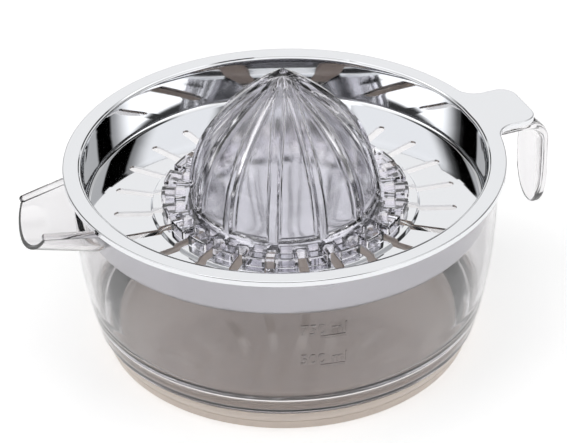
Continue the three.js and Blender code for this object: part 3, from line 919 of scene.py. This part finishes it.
def flange_outline(inset):
    """The flange's rim with its tab, moved inwards by an inset."""
    radius = flange_radius - inset
    half_width = TAB_HALF_WIDTH - inset
    reach = flange_radius + TAB_LENGTH - inset
    corner = TAB_CORNER - inset
    hollow = TAB_BLEND + inset
    hollow_y = half_width + hollow
    hollow_x = math.sqrt((radius + hollow) ** 2 - hollow_y**2)
    meet = math.degrees(math.atan2(hollow_y, hollow_x))
    return [
        *arc(0, 0, radius, meet, 360 - meet, FLANGE_STEPS),
        *arc(hollow_x, -hollow_y, hollow, 180 - meet, 90, TAB_BLEND_STEPS)[1:],
        *arc(reach - corner, corner - half_width, corner, -90, 0, TAB_CORNER_STEPS),
        *arc(reach - corner, half_width - corner, corner, 0, 90, TAB_CORNER_STEPS),
        *arc(hollow_x, hollow_y, hollow, -90, meet - 180, TAB_BLEND_STEPS)[:-1],
    ]


def level_ring(bm, points, height):
    """A ring of points at one height."""
    return [bm.verts.new((x, y, height)) for x, y in points]


def circle(radius):
    """Points of a circle in the directions of the flange's outline points."""
    directions = [Vector(p).normalized() * radius for p in flange_outline(0)]
    return [tuple(p) for p in directions]


edge_centre = FLANGE_TOP - FLANGE_EDGE
edge_arc = [
    (FLANGE_EDGE - x, z)
    for x, z in arc(0, edge_centre, FLANGE_EDGE, 0, 90, FLANGE_EDGE_STEPS)
]
edge_path = [(FLANGE_EDGE + FLAT_BORDER, FLANGE_TOP), *reversed(edge_arc)]
edge_path.append((0, FLANGE_TOP - FLANGE_DROP))
dish_bm = bmesh.new()
rings = [level_ring(dish_bm, circle(radius), z) for radius, z in bowl_path[1:]]
rings += [level_ring(dish_bm, flange_outline(inset), z) for inset, z in edge_path]
for z in (FLANGE_TOP - FLANGE_DROP, FLANGE_TOP - SHEET):
    rings.append(level_ring(dish_bm, flange_outline(SHEET), z))
for radius, z in reversed(bowl_underside[1:]):
    rings.append(level_ring(dish_bm, circle(radius), z))
for inner, outer in zip(rings, rings[1:]):
    for i in range(len(inner)):
        dish_bm.faces.new((inner[i - 1], outer[i - 1], outer[i], inner[i]))
dish_bm.faces.new(rings[0])
dish_bm.faces.new(rings[-1])
face_outwards(dish_bm)
dish = piece("strainer_dish_pressed", dish_bm, None)

# The slots: a ring of long round-ended holes, punched through the floor and the slope.
SLOT_COUNT = 24
SLOT_WIDTH = 3.6 * MM
SLOT_INNER_RADIUS = 38 * MM
SLOT_OUTER_RADIUS = 65.1 * MM
SLOT_TURN = math.radians(1.2)  # from the tab's middle to the nearest slot
SLOT_END_STEPS = 10


def long_hole(inner, outer, width):
    end = width / 2
    return [
        *arc(outer - end, 0, end, -90, 90, SLOT_END_STEPS),
        *arc(inner + end, 0, end, 90, 270, SLOT_END_STEPS),
    ]


def in_ring(bm, count, start=0):
    """Copies a bmesh evenly round the Z axis."""
    first = list(bm.verts) + list(bm.edges) + list(bm.faces)
    for i in range(1, count):
        copy = bmesh.ops.duplicate(bm, geom=first)
        verts = [v for v in copy["geom"] if isinstance(v, bmesh.types.BMVert)]
        turn = Matrix.Rotation(2 * math.pi * i / count, 3, "Z")
        bmesh.ops.rotate(bm, cent=(0, 0, 0), matrix=turn, verts=verts)
    bmesh.ops.rotate(bm, cent=(0, 0, 0), matrix=Matrix.Rotation(start, 3, "Z"), verts=bm.verts)
    return bm


slot_depth = 2 * CUT_OVERRUN + CENTRE_RISE + SHEET
slot_bm = slab(long_hole(SLOT_INNER_RADIUS, SLOT_OUTER_RADIUS, SLOT_WIDTH), slot_depth)
slot_bottom = floor_foot_height - SHEET - CUT_OVERRUN
bmesh.ops.translate(slot_bm, vec=(0, 0, slot_bottom), verts=slot_bm.verts)
slots = piece("slots", in_ring(slot_bm, SLOT_COUNT, SLOT_TURN), None)
combine(dish, slots, "DIFFERENCE")

# Stainless steel: the sheet is polished where it shows, and left satin under the bowl and
# round its outside, where its colour is also darker as painted shade.
POLISHED_COLOUR = (0.80, 0.81, 0.83)
POLISHED_ROUGHNESS = 0.04
POLISHED_LINE_DEPTH = 0.0002 * MM
# Darker than the polished colour: painted shade on the bowl's underside and outside.
SATIN_PAINTED_SHADE_COLOUR = (0.62, 0.62, 0.65)
SATIN_ROUGHNESS = 0.3
SATIN_LINE_DEPTH = 0.0006 * MM
LINE_SCALE = 2500
LINE_DETAIL = 4
CLOUD_SCALE = 30
ROUGHNESS_SPREAD = 0.3  # either way, as a share of the roughness
DISH_SMOOTH_ANGLE = 35
FACING_DOWN = -0.3  # the upright part of a normal, below which a face counts as facing down
FACING_OUT = 0.5  # the same for a face's outward part


def steel(name, colour, roughness, line_depth):
    """Stainless steel with fine circular polishing marks and a slightly uneven shine."""
    material, tree, shader = new_material(name)
    shader.inputs["Base Color"].default_value = (*colour, 1)
    shader.inputs["Metallic"].default_value = 1
    coordinates = tree.nodes.new("ShaderNodeTexCoord")
    parts = tree.nodes.new("ShaderNodeSeparateXYZ")
    tree.links.new(coordinates.outputs["Object"], parts.inputs["Vector"])
    flat = tree.nodes.new("ShaderNodeCombineXYZ")
    tree.links.new(parts.outputs["X"], flat.inputs["X"])
    tree.links.new(parts.outputs["Y"], flat.inputs["Y"])
    radius = tree.nodes.new("ShaderNodeVectorMath")
    radius.operation = "LENGTH"
    tree.links.new(flat.outputs["Vector"], radius.inputs[0])
    lines = tree.nodes.new("ShaderNodeTexNoise")
    lines.noise_dimensions = "1D"
    lines.inputs["Scale"].default_value = LINE_SCALE
    lines.inputs["Detail"].default_value = LINE_DETAIL
    tree.links.new(radius.outputs["Value"], lines.inputs["W"])
    bump = tree.nodes.new("ShaderNodeBump")
    bump.inputs["Strength"].default_value = 1
    bump.inputs["Distance"].default_value = line_depth
    tree.links.new(lines.outputs["Fac"], bump.inputs["Height"])
    tree.links.new(bump.outputs["Normal"], shader.inputs["Normal"])
    clouds = tree.nodes.new("ShaderNodeTexNoise")
    clouds.inputs["Scale"].default_value = CLOUD_SCALE
    tree.links.new(coordinates.outputs["Object"], clouds.inputs["Vector"])
    spread = tree.nodes.new("ShaderNodeMapRange")
    spread.inputs["To Min"].default_value = roughness * (1 - ROUGHNESS_SPREAD)
    spread.inputs["To Max"].default_value = roughness * (1 + ROUGHNESS_SPREAD)
    tree.links.new(clouds.outputs["Fac"], spread.inputs["Value"])
    tree.links.new(spread.outputs["Result"], shader.inputs["Roughness"])
    return material


polished = steel("polished_steel", POLISHED_COLOUR, POLISHED_ROUGHNESS, POLISHED_LINE_DEPTH)
satin_and_painted_shade = steel("satin_steel_and_painted_shade", SATIN_PAINTED_SHADE_COLOUR, SATIN_ROUGHNESS, SATIN_LINE_DEPTH)
dish.data.materials.clear()
dish.data.materials.append(polished)
dish.data.materials.append(satin_and_painted_shade)
# Faces under the bowl and round its outside take the satin steel, whose darker colour is painted
# shade.
for polygon in dish.data.polygons:
    outward = polygon.center.xy.normalized().dot(polygon.normal.xy)
    under_flange = polygon.center.z < FLANGE_TOP - SHEET / 2
    if polygon.center.xy.length < mouth_x and under_flange:
        faces_down = polygon.normal.z < FACING_DOWN
        faces_out = outward > FACING_OUT and polygon.center.xy.length > bowl_base_radius
        polygon.material_index = 1 if faces_down or faces_out else 0
shade_smooth(dish.data, DISH_SMOOTH_ANGLE)
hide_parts("strainer_dish")
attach(dish, "dish")

# Reamer: one clear moulding, a hollow ribbed cone on a skirt with a ring of hollow teeth.
# Three pegs reach down through the dish's slots and hold it in place.
SKIRT_HEIGHT = 3.7 * MM
SKIRT_WALL = 1.4 * MM
SKIRT_TOP_THICKNESS = 1.6 * MM
NOTCH_WIDTH = 3.8 * MM
NOTCH_DEPTH = 5.4 * MM
NOTCH_WALL = 1.1 * MM
NOTCH_CORNER = 0.6 * MM
SKIRT_EDGE = 0.4 * MM
POCKET_STEPS = 4
CONE_RADIUS = 36.5 * MM
CONE_HEIGHT = 53 * MM
CONE_FULLNESS = 2.2
CONE_WALL = 2.2 * MM
CONE_TOP_THICKNESS = 4 * MM
CONE_LEVELS = 40
CONE_TURN_STEPS = 480
PANEL_FILLET = 3.5 * MM  # the panels curve out to the ribs' width over this height
PANEL_FILLET_SHARES = (0, 0.04, 0.12, 0.25, 0.45, 0.7)
RIB_COUNT = 12
RIB_DEPTH = 2.4 * MM
RIB_CREST_WIDTH = 2.4 * MM
RIB_FLANK_WIDTH = 1.6 * MM
RIB_CREST_SHARE = 0.3
RIB_VALLEY_SHARE = 0.08
RIB_FADE_SHARE = 0.12
PEG_COUNT = 3
PEG_LENGTH = 3.1 * MM
CONE_COLOUR = (0.93, 0.92, 0.955)
CONE_ROUGHNESS = 0.05
HOLLOW_ROUGHNESS = 0.22
CONE_SMOOTH_ANGLE = 32

skirt_bottom = centre_height + FIT_GAP
skirt_top = skirt_bottom + SKIRT_HEIGHT
skirt_underside = skirt_top - SKIRT_TOP_THICKNESS
notch_inner_radius = SKIRT_RADIUS - NOTCH_DEPTH


def cone_points(base, top):
    """The cone's curve from the skirt to its tip, as points of radius and height."""
    heights = [PANEL_FILLET * share for share in PANEL_FILLET_SHARES]
    for i in range(CONE_LEVELS + 1):
        height = top * math.sin(math.pi / 2 * i / CONE_LEVELS)
        if height >= PANEL_FILLET:
            heights.append(height)
    points = [(base * (1 - (h / top) ** CONE_FULLNESS), skirt_top + h) for h in heights]
    points[-1] = (0, skirt_top + top)
    return points


def smooth_step(share):
    share = min(max(share, 0), 1)
    return share * share * (3 - 2 * share)


def rib_drop(radius, angle, height):
    """How far the surface lies under the ribs' crests at an angle and a height."""
    spacing = 2 * math.pi / RIB_COUNT
    from_crest = abs((angle + spacing / 2) % spacing - spacing / 2)
    half_crest = min(RIB_CREST_WIDTH / 2 / radius, spacing * RIB_CREST_SHARE)
    half_rib = min(half_crest + RIB_FLANK_WIDTH / radius, spacing * (0.5 - RIB_VALLEY_SHARE))
    fade = smooth_step(radius / (CONE_RADIUS * RIB_FADE_SHARE) - 1)
    foot = min(max((height - skirt_top) / PANEL_FILLET, 0), 1)
    fade *= math.sqrt(1 - (1 - foot) ** 2)
    return RIB_DEPTH * fade * smooth_step((from_crest - half_crest) / (half_rib - half_crest))


def press_panels(bm):
    """Presses the panels between the ribs inwards."""
    for vert in bm.verts:
        radius = vert.co.xy.length
        if radius > MERGE_DISTANCE:
            drop = rib_drop(radius, math.atan2(vert.co.y, vert.co.x), vert.co.z)
            vert.co.xy *= (radius - drop) / radius
    return bm


cone_profile = [
    (0, skirt_underside),
    (CONE_RADIUS, skirt_underside),
    *cone_points(CONE_RADIUS, CONE_HEIGHT),
]
cone_bm = press_panels(turned(cone_profile, CONE_TURN_STEPS))


def notch_tool():
    """The 24 notches as one tool, square at their inner ends with round corners."""
    corner = NOTCH_CORNER
    half = NOTCH_WIDTH / 2
    inner = notch_inner_radius
    outline = [
        (SKIRT_RADIUS + CUT_OVERRUN, -half),
        (SKIRT_RADIUS + CUT_OVERRUN, half),
        *arc(inner + corner, half - corner, corner, 90, 180),
        *arc(inner + corner, corner - half, corner, 180, 270),
    ]
    bm = slab(outline, SKIRT_HEIGHT + 2 * CUT_OVERRUN)
    bmesh.ops.translate(bm, vec=(0, 0, skirt_bottom - CUT_OVERRUN), verts=bm.verts)
    return piece("notches", in_ring(bm, SLOT_COUNT), None)


def tooth_pockets():
    """The hollows under the teeth, open below, as one tool."""
    inner = CONE_RADIUS + NOTCH_WALL
    outer = SKIRT_RADIUS - SKIRT_WALL
    half_gap = NOTCH_WIDTH / 2 + NOTCH_WALL
    spacing = math.pi / SLOT_COUNT
    outline = []
    for radius, turns in ((inner, (-1, 1)), (outer, (1, -1))):
        spread = spacing - math.asin(half_gap / radius)
        for i in range(POCKET_STEPS + 1):
            angle = spacing + spread * blend(turns[0], turns[1], i / POCKET_STEPS)
            outline.append((radius * math.cos(angle), radius * math.sin(angle)))
    bm = slab(outline, skirt_underside - skirt_bottom + CUT_OVERRUN)
    bmesh.ops.translate(bm, vec=(0, 0, skirt_bottom - CUT_OVERRUN), verts=bm.verts)
    return piece("pockets", in_ring(bm, SLOT_COUNT), None)


def pegs_tool():
    """The pegs as one solid, from inside the notches' inner walls down through the slots."""
    width = SLOT_WIDTH - 2 * FIT_GAP
    inner = notch_inner_radius - NOTCH_WALL / 2
    outer = SKIRT_RADIUS - FIT_GAP
    outline = [
        (inner, -width / 2),
        (outer, -width / 2),
        (outer, width / 2),
        (inner, width / 2),
    ]
    bm = slab(outline, PEG_LENGTH + SKIRT_HEIGHT - FIT_GAP)
    bmesh.ops.translate(bm, vec=(0, 0, skirt_bottom - PEG_LENGTH), verts=bm.verts)
    return piece("pegs", in_ring(bm, PEG_COUNT), None)


skirt_profile = [
    (0, skirt_bottom),
    (SKIRT_RADIUS, skirt_bottom),
    *arc(SKIRT_RADIUS - SKIRT_EDGE, skirt_top - SKIRT_EDGE, SKIRT_EDGE, 0, 90),
    (0, skirt_top),
]
reamer = piece("reamer_moulded", turned(skirt_profile), None)
combine(reamer, tooth_pockets(), "DIFFERENCE")
combine(reamer, notch_tool(), "DIFFERENCE")
combine(reamer, piece("cone", cone_bm, None), "UNION")
hollow_base = CONE_RADIUS - CONE_WALL
hollow_profile = [
    (0, skirt_bottom - CUT_OVERRUN),
    (hollow_base, skirt_bottom - CUT_OVERRUN),
    *cone_points(hollow_base, CONE_HEIGHT - CONE_TOP_THICKNESS),
]
hollow_bm = press_panels(turned(hollow_profile, CONE_TURN_STEPS))
combine(reamer, piece("hollow", hollow_bm, None), "DIFFERENCE")
combine(reamer, pegs_tool(), "UNION")
reamer.data.transform(Matrix.Rotation(SLOT_TURN, 4, "Z"))
polished_cone = clear_plastic("clear_plastic_cone", CONE_COLOUR, CONE_ROUGHNESS)
frosted_cone = clear_plastic("frosted_plastic_inside_cone", CONE_COLOUR, HOLLOW_ROUGHNESS)
reamer.data.materials.clear()
reamer.data.materials.append(polished_cone)
reamer.data.materials.append(frosted_cone)
for polygon in reamer.data.polygons:
    outward = polygon.center.xy.normalized().dot(polygon.normal.xy)
    in_hollow = polygon.center.xy.length < hollow_base + FIT_GAP and outward < 0
    polygon.material_index = 1 if in_hollow else 0
shade_smooth(reamer.data, CONE_SMOOTH_ANGLE)
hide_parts("reamer")
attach(reamer, "reamer")
